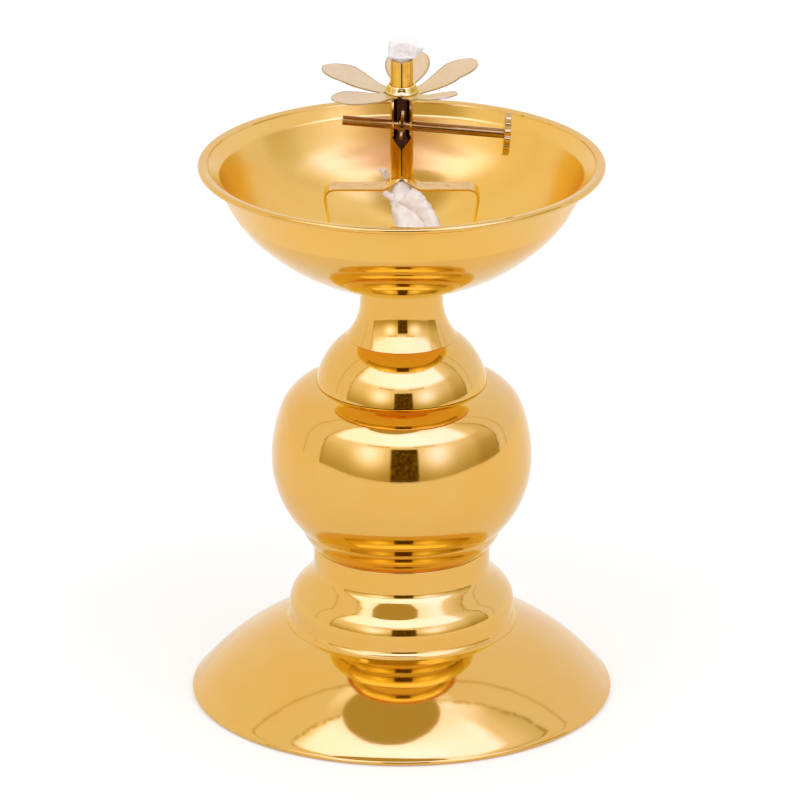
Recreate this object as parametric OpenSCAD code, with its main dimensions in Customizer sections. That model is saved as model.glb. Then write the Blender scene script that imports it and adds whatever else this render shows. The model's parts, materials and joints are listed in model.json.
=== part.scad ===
// Pedestal oil lamp: a dished bowl on a stack of hollow spun brass shells, held
// together by one threaded rod, with a loose wick stand standing in the bowl.
// Z is up and the lamp stands on z = 0. The stand's seam and wick wheel face -Y.

/* [Base and stem] */
// Radius of the flared base at the table
base_r = 50; // [50:0.5:52]
// Radius of the drum's vertical band
drum_r = 26.7; // [26:0.1:27]
// Height of the drum's top, under the bead
drum_top = 37; // [36.5:0.1:37.5]
// Height of the bead's top, where the ball begins
bead_top = 42.4; // [42:0.1:42.8]
// Largest radius of the ball
ball_r = 30.85; // [30:0.05:31.5]
// Height of the ball's widest level
ball_mid = 59; // [58.8:0.1:59.2]
// Radius of the narrowest part of the neck
neck_r = 9.85; // [9.5:0.05:10.5]
// Thickness of the spun sheet
wall = 0.8; // [0.6:0.05:0.9]

/* [Bowl] */
// Outer radius of the bowl's rolled lip
lip_r = 47.8; // [47.8:0.1:49]
// Height of the lip's top
lip_z = 132.3; // [132:0.1:132.6]
// Radius of the round bottom of the bowl, outside
bowl_sphere_r = 50.45; // [50.3:0.05:50.6]

/* [Wick stand] */
// Outer radius of the wick tube
tube_r = 2.7; // [2.6:0.05:2.8]
// Thickness of the stand's sheet
sheet = 0.45; // [0.4:0.05:0.5]
// Height of the wick tube's mouth
tube_top = 157.6; // [156:0.2:158]
// Half the span of the two legs, at the shoulders
leg_x = 17.8; // [16.5:0.1:18]
// Width of the strip that makes the legs
strip_w = 6.2; // [5.5:0.1:7]

/* [Spindle] */
// Radius of the spindle
spindle_r = 1.15; // [1:0.05:1.2]
// Slant of the spindle across the tube
spindle_tilt = 5; // [0:0.5:5]
// Outer radius of the toothed wick wheel
wheel_r = 3.5; // [3.2:0.05:3.5]
// Teeth on the wick wheel
wheel_teeth = 12; // [8:1:14]
// Radius of the knob
knob_r = 5; // [4:0.1:5.5]

/* [Flower] */
// Distance from the tube's axis to a petal's tip, before it is bent up
petal_reach = 20.5; // [18:0.1:21]
// Half the width of a petal
petal_half_w = 5.3; // [4:0.1:5.5]

/* [Wick] */
// Radius of the wick inside the tube
wick_r = 2.1; // [2:0.05:2.15]
// Height of the wick's top
wick_top = 162.7; // [161:0.1:166]
// Diameter of the wick's tail in the bowl
tail_d = 4.3; // [4:0.1:4.4]

/* [Hidden] */
$fn = 96;

polished = [0.86, 0.64, 0.26];
satin = [0.86, 0.76, 0.56];
steel = [0.72, 0.72, 0.70];
cotton = [0.95, 0.93, 0.90];

// tie rod and its fasteners
rod_r = 3;
rod_hole_r = 3.3;
rod_low = 7;
rod_high = 99;
rod_chamfer_h = 0.6;
rod_tip_r = 2.5;
clamp_washer_r = 12;
clamp_washer_h = 1.2;
spring_washer_r = 5.2;
spring_washer_h = 1.6;
spring_washer_gap = 1;
spring_washer_hole_r = 3.15;
nut_across_corners = 11.55;
nut_h = 5;
boss_r = 6;
boss_low = 92.5;
boss_h = 12;

// base: one dome-shaped arc from the table to its flat top
skirt_arc_r = 50.1;
skirt_arc_x = base_r - 40.15;
skirt_arc_z = -29.3;
skirt_foot_w = 3.4;
skirt_hem = 0.8;
skirt_flat_r = 24;
// drum: a flared foot, a vertical band, a round bulge, a slope and a collar
drum_foot_r = drum_r + 0.75;
drum_foot_turn_w = 0.25;
drum_foot_turn_h = 0.55;
drum_foot_h = 1.2;
bulge_x = drum_r - 7.2;
bulge_z = 22;
bulge_arc_r = 7.2;
bulge_to = 46;
bulge_slope = [[3.7, 28.45], [2.45, 29.65]];
collar_r = 20.9;
collar_root_w = 0.45;
collar_root_z = 30.35;
collar_low_z = 31.6;
// bead under the ball
bead_x = 10.2;
bead_z = 47.35;
bead_arc_r = 14.8;
bead_out_r = bead_x + sqrt(pow(bead_arc_r, 2) - pow(bead_top - bead_z, 2));
bead_lip_h = 1.6;
// ball: three arcs, below the widest level, above it, and round the shoulder
ball_low_arc = 24.4;
ball_mid_arc = 34;
ball_mid_turn = 20.5;
ball_top_arc = 11;
ball_top = ball_mid + ball_mid_arc * sin(ball_mid_turn) + ball_top_arc * (1 - sin(ball_mid_turn));
// shoulder dome
dome_arc_r = 16.5;
dome_x = 3.9;
dome_z = 75.5;
dome_in_r = 12.9;
dome_sink = 0.05;
// neck: a hollow curve that runs out into a cone
neck_arc_r = 12.4;
neck_arc_turn = 27;
neck_waist_z = 98;
neck_foot_r = 13.05;
neck_slope = [12.03, 90.87];
neck_top_r = 10.3;
// bowl: round bottom, a tighter turn, a straight cone, then the lip and its bead
bowl_z = 151.7;
bowl_turn_r = 24.7;
bowl_turn_from = 45.5;
bowl_cone_lean = 28.4;
lip_bead_r = 0.75;
// inside the rim: a flat lip, a sloping flange, then the steeper wall
lip_in_r = 45.5;
lip_in_drop = 0.35;
flange_r = 42.7;
flange_z = 129.7;
wall_head = 2.2;

// wick stand
tube_in_r = tube_r - sheet;
seam_w = 0.35;
tube_foot_z = 128.2;
shoulder_z = 126;
shoulder_bend_r = 2.4;
foot_bend_r = 2.2;
leg_low_x = 15.4;
leg_low_z = 107.6;
foot_out_x = 20;
foot_clear = 0.35;
window_low = 136.4;
window_high = 148.9;
window_vee = 3;
ear_in_x = 1.9;
ear_front_y = -4.9;
ear_low = 138.6;
ear_high = 149.1;
// spindle, measured along its own axis from the tube's mid plane
spindle_y = -3;
spindle_z = 142.4;
spindle_left = -13.9;
spindle_right = 25.4;
bearing_clear = 0.06;
wheel_w = 0.7;
wheel_root_r = 2.5;
wheel_hub_w = 1.6;
wheel_hub_r = 1.8;
knob_at = 23.8;
knob_w = 1.6;
knob_flutes = 14;
knob_flute_r = 0.55;
// flower: azimuth from +X and bend up of each petal
petals = [[18, 23], [84, 16], [162, 17], [221, 14], [306, 25]];
petal_sheet = 0.35;
petal_root_r = 4;
petal_root_half_w = 1.9;
rosette_z = 149.25;
rosette_ring_r = 4.3;
collar_in_r = tube_r + 0.06;
collar_top_r = 3.35;
collar_foot_r = 3.85;
collar_h = 2;
// wick
wick_low = 128.3;
wick_tip_low = 158;
wick_tip_grow = 1.2;
wick_tip_round = 2;
wick_tip_r = 3.1;
wick_slot_w = 2.2;
wick_slot_y = 0.85;
// tail: the route of its centre, from the tube's foot down and round the bowl's bottom
tail_route = [
    [0.0, 0.0, 127.7], [0.1, -0.5, 125.5], [0.6, -1.7, 122.6], [1.4, -3.2, 119.8],
    [2.6, -5.0, 116.8], [4.2, -7.2, 113.8], [5.8, -9.8, 111.0], [7.2, -12.7, 109.2],
    [7.9, -16.0, 108.8], [7.4, -19.4, 109.6], [5.2, -22.4, 110.8], [1.8, -23.9, 111.4],
    [-1.9, -23.7, 111.3], [-5.2, -21.9, 110.6], [-7.6, -19.0, 109.5], [-8.8, -15.6, 108.4],
    [-8.8, -12.0, 107.2], [-7.8, -8.8, 106.3], [-5.6, -6.0, 105.6]
];
tail_sides = 10;

// ---- outline helpers, in (radius, height) ----
function arc(cx, cz, r, from, to, n) =
    [for (i = [0:n]) let (a = from + (to - from) * i / n) [cx + r * cos(a), cz + r * sin(a)]];
function side_normal(p, i) =
    let (a = p[max(i - 1, 0)], b = p[min(i + 1, len(p) - 1)], d = (b - a) / norm(b - a))
    [d[1], -d[0]];
// the same line moved inwards, towards the left of its direction
function inset(p, t) = [for (i = [0:len(p) - 1]) p[i] - t * side_normal(p, i)];
function back(p) = [for (i = [len(p) - 1:-1:0]) p[i]];
module spun(outline) { rotate_extrude() polygon(outline); }
module disc(z, r, hole, h = wall) {
    translate([0, 0, z]) difference() {
        cylinder(r = r, h = h);
        translate([0, 0, -1]) cylinder(r = hole, h = h + 2);
    }
}

// ---- base and stem ----
module base_skirt() {
    low = asin((skirt_hem - skirt_arc_z) / skirt_arc_r);
    high = acos((skirt_flat_r - skirt_arc_x) / skirt_arc_r);
    in_r = skirt_arc_r - wall;
    in_low = asin((wall - skirt_arc_z) / in_r);
    top_z = skirt_arc_z + skirt_arc_r * sin(high);
    in_high = asin((top_z - wall - skirt_arc_z) / in_r);
    color(polished) spun(concat(
        [[base_r - skirt_foot_w, 0]],
        arc(base_r - skirt_hem, skirt_hem, skirt_hem, -90, 0, 5),
        arc(skirt_arc_x, skirt_arc_z, skirt_arc_r, low + 1, high, 20),
        [[rod_hole_r, top_z], [rod_hole_r, top_z - wall]],
        arc(skirt_arc_x, skirt_arc_z, in_r, in_high, in_low, 20),
        [[base_r - skirt_foot_w, wall]]
    ));
}

function skirt_z(r) = skirt_arc_z + sqrt(pow(skirt_arc_r, 2) - pow(r - skirt_arc_x, 2));

module base_drum() {
    foot_z = skirt_z(drum_foot_r - wall);
    line = concat(
        [[drum_foot_r, foot_z], [drum_r + drum_foot_turn_w, foot_z + drum_foot_turn_h],
         [drum_r, foot_z + drum_foot_h]],
        arc(bulge_x, bulge_z, bulge_arc_r, 0, bulge_to, 12),
        [for (p = bulge_slope) [bulge_x + p[0], p[1]]],
        [[collar_r + collar_root_w, collar_root_z], [collar_r, collar_low_z], [collar_r, drum_top]]
    );
    inner = back(inset(line, wall));
    color(polished) spun(concat(
        line,
        [[rod_hole_r, drum_top], [rod_hole_r, drum_top - wall],
         [collar_r - wall, drum_top - wall]],
        [for (i = [1:len(inner) - 2]) inner[i]],
        [[drum_foot_r - wall, foot_z]]
    ));
}

module bead_ring() {
    low = asin((drum_top - bead_z) / bead_arc_r);
    high = asin((bead_top - bead_z) / bead_arc_r);
    color(polished) spun(concat(
        [[rod_hole_r, drum_top]],
        arc(bead_x, bead_z, bead_arc_r, low, high, 10),
        [[bead_out_r - wall, bead_top],
         [bead_out_r - wall, bead_top + bead_lip_h], [bead_out_r - 2 * wall, bead_top + bead_lip_h],
         [bead_out_r - 2 * wall, drum_top + 3], [collar_r - 1.2 * wall, drum_top + wall],
         [rod_hole_r, drum_top + wall]]
    ));
}

module ball_body() {
    mid_x = ball_r - ball_mid_arc;
    turn_x = mid_x + ball_mid_arc * cos(ball_mid_turn);
    turn_z = ball_mid + ball_mid_arc * sin(ball_mid_turn);
    top_x = turn_x - ball_top_arc * cos(ball_mid_turn);
    top_z = turn_z - ball_top_arc * sin(ball_mid_turn);
    low = -asin((ball_mid - bead_top) / ball_low_arc);
    low_x = ball_r - ball_low_arc;
    color(polished) spun(concat(
        arc(low_x, ball_mid, ball_low_arc, low, -3, 14),
        arc(mid_x, ball_mid, ball_mid_arc, 0, ball_mid_turn - 1.5, 8),
        arc(top_x, top_z, ball_top_arc, ball_mid_turn, 90, 12),
        [[rod_hole_r, ball_top], [rod_hole_r, ball_top - wall]],
        arc(top_x, top_z, ball_top_arc - wall, 90, ball_mid_turn, 12),
        arc(mid_x, ball_mid, ball_mid_arc - wall, ball_mid_turn - 1.5, 0, 8),
        arc(low_x, ball_mid, ball_low_arc - wall, -3, low + 1.6, 14),
        [[bead_out_r - wall, bead_top]]
    ));
}

module shoulder_dome() {
    foot = ball_top - dome_sink - dome_z;
    low = asin(foot / dome_arc_r);
    high = acos((dome_in_r - dome_x) / dome_arc_r);
    flat_z = dome_z + dome_arc_r * sin(high);
    in_r = dome_arc_r - wall;
    color(polished) spun(concat(
        arc(dome_x, dome_z, dome_arc_r, low, high, 14),
        [[rod_hole_r, flat_z], [rod_hole_r, flat_z - wall]],
        arc(dome_x, dome_z, in_r, asin((flat_z - wall - dome_z) / in_r), asin(foot / in_r), 14)
    ));
}

module neck() {
    foot_z = dome_z + sqrt(pow(dome_arc_r, 2) - pow(dome_in_r - dome_x, 2));
    arc_x = neck_r + neck_arc_r;
    top_bowl_z = bowl_z - sqrt(pow(bowl_sphere_r, 2) - pow(neck_top_r, 2));
    top_in_z = bowl_z - sqrt(pow(bowl_sphere_r, 2) - pow(neck_top_r - wall, 2));
    line = concat(
        [[neck_foot_r, foot_z], neck_slope],
        arc(arc_x, neck_waist_z, neck_arc_r, 180 + neck_arc_turn, 180, 12),
        [[neck_r, 99], [neck_r + 0.1, 100], [neck_r + 0.25, 101], [neck_top_r, top_bowl_z - 0.02]]
    );
    inner = back(inset(line, wall));
    color(polished) spun(concat(
        line,
        [[neck_top_r - wall, top_in_z - 0.02]],
        [for (i = [1:len(inner) - 2]) if (inner[i][1] > foot_z + wall) inner[i]],
        [[rod_hole_r, foot_z + wall], [rod_hole_r, foot_z]]
    ));
}

// ---- bowl ----
module bowl() {
    // outer turn starts on the round bottom and ends tangent to the cone
    turn_x = (bowl_sphere_r - bowl_turn_r) * sin(bowl_turn_from);
    turn_z = bowl_z - (bowl_sphere_r - bowl_turn_r) * cos(bowl_turn_from);
    cone_dir = [sin(bowl_cone_lean), cos(bowl_cone_lean)];
    cone_foot = [turn_x + bowl_turn_r * cos(bowl_cone_lean), turn_z - bowl_turn_r * sin(bowl_cone_lean)];
    cone_len = (lip_z - wall - 0.6 - cone_foot[1]) / cone_dir[1];
    cone_head = cone_foot + cone_len * cone_dir;
    in_foot = cone_foot + wall * [-cos(bowl_cone_lean), sin(bowl_cone_lean)];
    in_head = in_foot + wall_head * cone_dir;
    roll_x = lip_r - lip_bead_r;
    roll_z = lip_z - lip_bead_r;
    color(polished) union() {
        spun(concat(
            arc(0, bowl_z, bowl_sphere_r, -90, -90 + bowl_turn_from, 26),
            arc(turn_x, turn_z, bowl_turn_r, -90 + bowl_turn_from + 2, -bowl_cone_lean, 8),
            [cone_head, cone_head + [0.45, 0.5], [roll_x, lip_z - wall], [roll_x, lip_z],
             [lip_in_r, lip_z - lip_in_drop], [flange_r, flange_z]],
            [in_head, in_foot],
            arc(turn_x, turn_z, bowl_turn_r - wall, -bowl_cone_lean - 2, -90 + bowl_turn_from, 8),
            arc(0, bowl_z, bowl_sphere_r - wall, -90 + bowl_turn_from - 2, -90, 26)
        ));
        rotate_extrude() translate([roll_x, roll_z]) circle(r = lip_bead_r, $fn = 32);
    }
}

module bowl_boss() {
    color(polished) difference() {
        translate([0, 0, boss_low]) cylinder(r = boss_r, h = boss_h);
        translate([0, 0, bowl_z]) sphere(r = bowl_sphere_r, $fn = 128);
        translate([0, 0, boss_low - 1]) cylinder(r = rod_r, h = rod_high - boss_low + 1);
    }
}

// ---- tie rod and fasteners ----
module tie_rod() {
    color(steel) {
        translate([0, 0, rod_low + rod_chamfer_h])
            cylinder(r = rod_r, h = rod_high - rod_low - rod_chamfer_h);
        translate([0, 0, rod_low]) cylinder(r1 = rod_tip_r, r2 = rod_r, h = rod_chamfer_h);
    }
}

function clamp_z() = skirt_z(skirt_flat_r) - wall - clamp_washer_h;

module clamp_washer() {
    color(steel) disc(clamp_z(), clamp_washer_r, rod_hole_r, clamp_washer_h);
}

module spring_washer() {
    z = clamp_z() - spring_washer_h;
    color(steel) difference() {
        disc(z, spring_washer_r, spring_washer_hole_r, spring_washer_h);
        translate([0, -spring_washer_gap / 2, z - 1])
            cube([spring_washer_r + 1, spring_washer_gap, spring_washer_h + 2]);
    }
}

module base_nut() {
    z = clamp_z() - spring_washer_h - nut_h;
    color(steel) difference() {
        translate([0, 0, z]) cylinder(d = nut_across_corners, h = nut_h, $fn = 6);
        translate([0, 0, z - 1]) cylinder(r = rod_r, h = nut_h + 2);
    }
}

// ---- wick stand ----
// slanted frame of the spindle: its axis becomes local X
module on_spindle() {
    translate([0, spindle_y, spindle_z]) rotate([0, spindle_tilt, 0]) children();
}

// one shoulder, leg and foot in (x, z), as a strip of sheet seen from its edge
module leg_outline() {
    foot_slope = foot_out_x / sqrt(pow(bowl_sphere_r, 2) - pow(foot_out_x, 2));
    foot_line_z = bowl_z - sqrt(pow(bowl_sphere_r - wall - foot_clear, 2)
        - pow(foot_out_x, 2) - pow(strip_w / 2, 2));
    foot_in_x = leg_low_x + 1.2;
    line = concat(
        [[tube_in_r, tube_foot_z + 2.6]],
        arc(tube_in_r + foot_bend_r, shoulder_z + foot_bend_r, foot_bend_r, 180, 270, 6),
        arc(leg_x - shoulder_bend_r, shoulder_z - shoulder_bend_r, shoulder_bend_r, 90, 0, 8),
        [[leg_low_x, leg_low_z], [foot_in_x, foot_line_z - foot_slope * (foot_out_x - foot_in_x)],
         [foot_out_x, foot_line_z]]
    );
    n = len(line);
    outer = [for (i = [0:n - 1]) line[i] + sheet * [
        side_normal(line, i)[0] * -1, side_normal(line, i)[1] * -1]];
    polygon(concat(line, back(outer)));
}

module leg() {
    translate([0, strip_w / 2, 0]) rotate([90, 0, 0]) linear_extrude(strip_w) leg_outline();
}

module ear(side) {
    x = side > 0 ? ear_in_x : -ear_in_x - sheet;
    translate([x, 0, 0]) rotate([90, 0, 90]) linear_extrude(sheet) polygon(concat(
        [[-tube_r + 0.6, ear_low], [ear_front_y + 1.2, ear_low + 0.8]],
        arc(spindle_y, spindle_z, spindle_y - ear_front_y, 215, 150, 8),
        [[-tube_r - 0.3, ear_high], [-tube_r + 1.7, ear_high], [-tube_r + 1.7, ear_low]]
    ));
}

module wick_stand() {
    color(polished) difference() {
        union() {
            difference() {
                translate([0, 0, tube_foot_z]) cylinder(r = tube_r, h = tube_top - tube_foot_z);
                translate([0, 0, tube_foot_z - 1]) cylinder(r = tube_in_r, h = tube_top - tube_foot_z + 2);
                // seam down the front
                translate([-seam_w / 2, -tube_r - 1, tube_foot_z - 1])
                    cube([seam_w, tube_r, tube_top - tube_foot_z + 2]);
                // window for the wheel, pointed at its lower end
                translate([0, 1, 0]) rotate([90, 0, 0]) linear_extrude(tube_r + 3) polygon([
                    [0, window_low], [ear_in_x + sheet, window_low + window_vee],
                    [ear_in_x + sheet, window_high], [-ear_in_x - sheet, window_high],
                    [-ear_in_x - sheet, window_low + window_vee]
                ]);
            }
            for (side = [-1, 1]) ear(side);
            leg();
            mirror([1, 0, 0]) leg();
        }
        // bearing holes
        on_spindle() rotate([0, 90, 0])
            translate([0, 0, -4]) cylinder(r = spindle_r + bearing_clear, h = 8);
        // the mouth of the tube's foot stays open for the wick
        translate([0, 0, tube_foot_z - 3]) cylinder(r = tube_in_r, h = 4);
    }
}

// ---- spindle ----
module spindle() {
    color(polished) on_spindle() rotate([0, 90, 0])
        translate([0, 0, spindle_left]) cylinder(r = spindle_r, h = spindle_right - spindle_left);
}

module wick_wheel() {
    step = 360 / wheel_teeth;
    color(polished) on_spindle() rotate([0, 90, 0]) difference() {
        union() {
            translate([0, 0, -wheel_w / 2]) linear_extrude(wheel_w) polygon([
                for (i = [0:wheel_teeth - 1], k = [0:1])
                    let (r = k == 0 ? wheel_r : wheel_root_r, a = (i + k / 2) * step)
                    [r * cos(a), r * sin(a)]
            ]);
            translate([0, 0, -wheel_hub_w / 2]) cylinder(r = wheel_hub_r, h = wheel_hub_w);
        }
        translate([0, 0, -2]) cylinder(r = spindle_r, h = 4);
    }
}

module spindle_knob() {
    color(polished) on_spindle() rotate([0, 90, 0]) translate([0, 0, knob_at]) difference() {
        cylinder(r = knob_r, h = knob_w);
        translate([0, 0, -1]) cylinder(r = spindle_r, h = knob_w + 2);
        for (i = [0:knob_flutes - 1]) rotate([0, 0, (i + 0.5) * 360 / knob_flutes])
            translate([knob_r + 0.15, 0, -1]) cylinder(r = knob_flute_r, h = knob_w + 2, $fn = 24);
    }
}

// ---- flower ----
function petal_w(t) =
    petal_root_half_w * (1 - t) + (petal_half_w - 0.8) * pow(sin(180 * pow(t, 1.3)), 0.72);

module petal() {
    n = 18;
    reach = petal_reach - petal_root_r;
    side = [for (i = [0:n]) let (t = i / n) [reach * t, petal_w(t)]];
    linear_extrude(petal_sheet) polygon(concat(side, [for (p = back(side)) if (p[1] > 0.01) [p[0], -p[1]]]));
}

module petal_rosette() {
    color(satin) translate([0, 0, rosette_z]) difference() {
        union() {
            cylinder(r = rosette_ring_r, h = petal_sheet);
            for (p = petals) rotate([0, 0, p[0]]) translate([petal_root_r, 0, 0])
                rotate([0, -p[1], 0]) petal();
        }
        translate([0, 0, -1]) cylinder(r = collar_top_r, h = 3);
    }
}

module flower_collar() {
    z = rosette_z + petal_sheet;
    color(polished) difference() {
        union() {
            translate([0, 0, rosette_z]) cylinder(r = collar_top_r, h = petal_sheet);
            translate([0, 0, z]) cylinder(r1 = collar_foot_r, r2 = collar_top_r, h = collar_h);
        }
        translate([0, 0, rosette_z - 1]) cylinder(r = collar_in_r, h = collar_h + 3);
    }
}

// ---- wick ----
module wick() {
    color(cotton) difference() {
        union() {
            translate([0, 0, wick_low]) cylinder(r = wick_r, h = wick_tip_low - wick_low);
            translate([0, 0, wick_tip_low]) cylinder(r1 = wick_r, r2 = wick_tip_r, h = wick_tip_grow);
            translate([0, 0, wick_tip_low + wick_tip_grow])
                cylinder(r = wick_tip_r, h = wick_top - wick_tip_low - wick_tip_grow - wick_tip_round);
            translate([0, 0, wick_top - wick_tip_round])
                cylinder(r1 = wick_tip_r, r2 = wick_tip_r / 2, h = wick_tip_round);
        }
        // groove that the wheel's teeth have pressed
        translate([-wick_slot_w / 2, -wick_r - 1, wick_low - 1])
            cube([wick_slot_w, wick_r + 1 + wick_slot_y, window_high - wick_low + 1]);
    }
}

// a tube of n sides swept along a list of points
function unit(v) = v / norm(v);
function route_dir(p, i) = unit(p[min(i + 1, len(p) - 1)] - p[max(i - 1, 0)]);
function ring_side(d) = unit(cross(abs(d[0]) < 0.9 ? [1, 0, 0] : [0, 1, 0], d));
module sweep_tube(p, r, n) {
    rings = [for (i = [0:len(p) - 1]) let (d = route_dir(p, i), u = ring_side(d), v = cross(d, u))
        for (k = [0:n - 1]) p[i] + r * (cos(360 * k / n) * u + sin(360 * k / n) * v)];
    last = (len(p) - 1) * n;
    polyhedron(rings, concat(
        [[for (k = [0:n - 1]) k]],
        [for (i = [0:len(p) - 2], k = [0:n - 1]) let (k2 = (k + 1) % n)
            [i * n + k, (i + 1) * n + k, (i + 1) * n + k2, i * n + k2]],
        [[for (k = [n - 1:-1:0]) last + k]]
    ));
}

module wick_tail() {
    color(cotton) sweep_tube(tail_route, tail_d / 2, tail_sides);
}

base_skirt();
base_drum();
bead_ring();
ball_body();
shoulder_dome();
neck();
bowl();
bowl_boss();
tie_rod();
clamp_washer();
spring_washer();
base_nut();
wick_stand();
wick_tail();
spindle();
wick_wheel();
spindle_knob();
petal_rosette();
flower_collar();
wick();
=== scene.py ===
import json
import math
import random

import bmesh
import bpy
from mathutils import Matrix, Vector, noise


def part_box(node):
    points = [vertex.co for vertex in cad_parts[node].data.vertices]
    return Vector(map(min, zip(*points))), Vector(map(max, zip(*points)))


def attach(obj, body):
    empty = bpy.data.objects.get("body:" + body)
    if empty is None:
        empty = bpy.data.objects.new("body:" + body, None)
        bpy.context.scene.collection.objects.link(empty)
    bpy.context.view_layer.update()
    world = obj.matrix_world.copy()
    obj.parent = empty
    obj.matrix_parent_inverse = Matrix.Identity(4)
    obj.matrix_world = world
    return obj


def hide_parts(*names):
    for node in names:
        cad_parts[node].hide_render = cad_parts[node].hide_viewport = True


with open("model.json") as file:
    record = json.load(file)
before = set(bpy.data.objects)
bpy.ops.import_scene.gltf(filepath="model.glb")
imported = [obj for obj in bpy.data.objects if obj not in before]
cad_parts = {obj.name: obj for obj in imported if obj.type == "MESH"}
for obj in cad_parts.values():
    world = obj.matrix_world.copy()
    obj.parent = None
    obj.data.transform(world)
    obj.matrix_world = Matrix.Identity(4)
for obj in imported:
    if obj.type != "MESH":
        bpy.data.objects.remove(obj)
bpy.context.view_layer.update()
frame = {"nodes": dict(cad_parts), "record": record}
MM = 0.001

# ---------------------------------------------------------------- sizes, in millimetres
# Read from the frame where it has them. The rest repeat the part's own values.
WALL = 0.8
ROD_HOLE_R = 3.3
BASE_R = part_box("base_skirt")[1].x / MM
DRUM_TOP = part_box("base_drum")[1].z / MM
BEAD_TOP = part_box("ball_body")[0].z / MM
BALL_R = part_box("ball_body")[1].x / MM
BALL_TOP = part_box("ball_body")[1].z / MM
NECK_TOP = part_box("neck")[1].z / MM
LIP_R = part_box("bowl")[1].x / MM
LIP_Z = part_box("bowl")[1].z / MM
TUBE_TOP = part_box("wick_stand")[1].z / MM
WICK_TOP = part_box("wick")[1].z / MM
ROSETTE_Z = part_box("petal_rosette")[0].z / MM
TUBE_R = 2.7
SHEET = 0.45
BOWL_Z = 151.7  # the centre of the bowl's sphere
BOWL_SPHERE_R = 50.45
SPINDLE = next(j for j in frame["record"]["behaviour"]["joints"] if j["name"] == "spindle_turn")
LATHE_STEPS = 168


# ---------------------------------------------------------------- camera
def make_camera():
    """A long lens, a little above the lamp and level with the front of the wick stand."""
    aim = Vector((-0.0004, 0, 0.0729))
    elevation, distance = math.radians(20.4), 1.915
    back = Vector((0, -math.cos(elevation), math.sin(elevation)))
    data = bpy.data.cameras.new("camera")
    data.lens, data.sensor_width = 364.5, 36
    data.clip_start, data.clip_end = 0.05, 50
    camera = bpy.data.objects.new("camera", data)
    camera.location = aim + back * distance
    camera.rotation_mode = "QUATERNION"
    camera.rotation_quaternion = (-back).to_track_quat("-Z", "Y")
    bpy.context.collection.objects.link(camera)
    bpy.context.scene.camera = camera


# ---------------------------------------------------------------- node helpers
class Nodes:
    """A node tree with short ways to add maths and textures."""

    def __init__(self, tree):
        self.tree = tree
        tree.nodes.clear()

    def add(self, kind, settings=(), **inputs):
        node = self.tree.nodes.new(kind)
        for name, value in dict(settings).items():
            setattr(node, name, value)
        for name, value in inputs.items():
            self.put(node, name.replace("_", " "), value)
        return node

    def put(self, node, name, value):
        socket = node.inputs[int(name)] if name.isdigit() else node.inputs[name]
        if isinstance(value, bpy.types.NodeSocket):
            self.tree.links.new(value, socket)
        else:
            socket.default_value = value

    def math(self, operation, a, b=0.0, c=0.0):
        node = self.add("ShaderNodeMath", {"operation": operation})
        for k, value in enumerate((a, b, c)):
            if k < len(node.inputs):
                self.put(node, str(k), value)
        return node.outputs[0]

    def times(self, a, b):
        return self.math("MULTIPLY", a, b)

    def plus(self, a, b):
        return self.math("ADD", a, b)

    def scaled(self, a, gain, shift):
        """a times gain, plus shift."""
        return self.math("MULTIPLY_ADD", a, gain, shift)

    def step(self, value, low, high, to_low=0.0, to_high=1.0):
        """A smooth ramp from to_low at low to to_high at high."""
        node = self.add("ShaderNodeMapRange", {"interpolation_type": "SMOOTHSTEP"})
        for name, v in (("Value", value), ("From Min", low), ("From Max", high),
                        ("To Min", to_low), ("To Max", to_high)):
            self.put(node, name, v)
        return node.outputs[0]

    def band(self, value, low, high, soft):
        """1 between low and high, with soft ends."""
        rise = self.step(value, low - soft, low + soft)
        return self.times(rise, self.step(value, high + soft, high - soft))

    def blend(self, share, a, b):
        """From the number a to the number b."""
        node = self.add("ShaderNodeMix")
        for k, v in ((0, share), (2, a), (3, b)):
            self.put(node, str(k), v)
        return node.outputs[0]

    def mix(self, share, a, b):
        """From the colour a to the colour b."""
        node = self.add("ShaderNodeMix", {"data_type": "RGBA"})
        for k, v in ((0, share), (6, a), (7, b)):
            self.put(node, str(k), v)
        return node.outputs[2]

    def noise(self, vector, scale, detail=2.0, roughness=0.5):
        node = self.add("ShaderNodeTexNoise", Vector=vector, Scale=scale, Detail=detail,
                        Roughness=roughness)
        return node.outputs["Fac"]

    def object_place(self):
        """The point in the object's own frame, in metres."""
        return self.add("ShaderNodeTexCoord").outputs["Object"]

    def axes(self, vector):
        node = self.add("ShaderNodeSeparateXYZ", Vector=vector)
        return node.outputs[0], node.outputs[1], node.outputs[2]

    def vector(self, x, y, z):
        node = self.add("ShaderNodeCombineXYZ")
        for k, v in enumerate((x, y, z)):
            self.put(node, str(k), v)
        return node.outputs[0]

    def bump(self, height, strength, distance, normal=None):
        node = self.add("ShaderNodeBump", Height=height, Strength=strength, Distance=distance)
        if normal is not None:
            self.put(node, "Normal", normal)
        return node.outputs[0]


def new_material(name):
    material = bpy.data.materials.new(name)
    material.use_nodes = True
    nodes = Nodes(material.node_tree)
    shader = nodes.add("ShaderNodeBsdfPrincipled")
    nodes.add("ShaderNodeOutputMaterial", Surface=shader.outputs[0])
    return material, nodes, shader


def ring_space(nodes):
    """Radius, height and a little of the turn about the axis as one vector, for the lathe's marks."""
    place = nodes.object_place()
    x, y, z = nodes.axes(place)
    square = nodes.plus(nodes.times(x, x), nodes.times(y, y))
    turn = nodes.times(nodes.math("ARCTAN2", y, x), 0.0006)
    return nodes.vector(nodes.math("SQRT", square), z, turn), place


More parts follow.
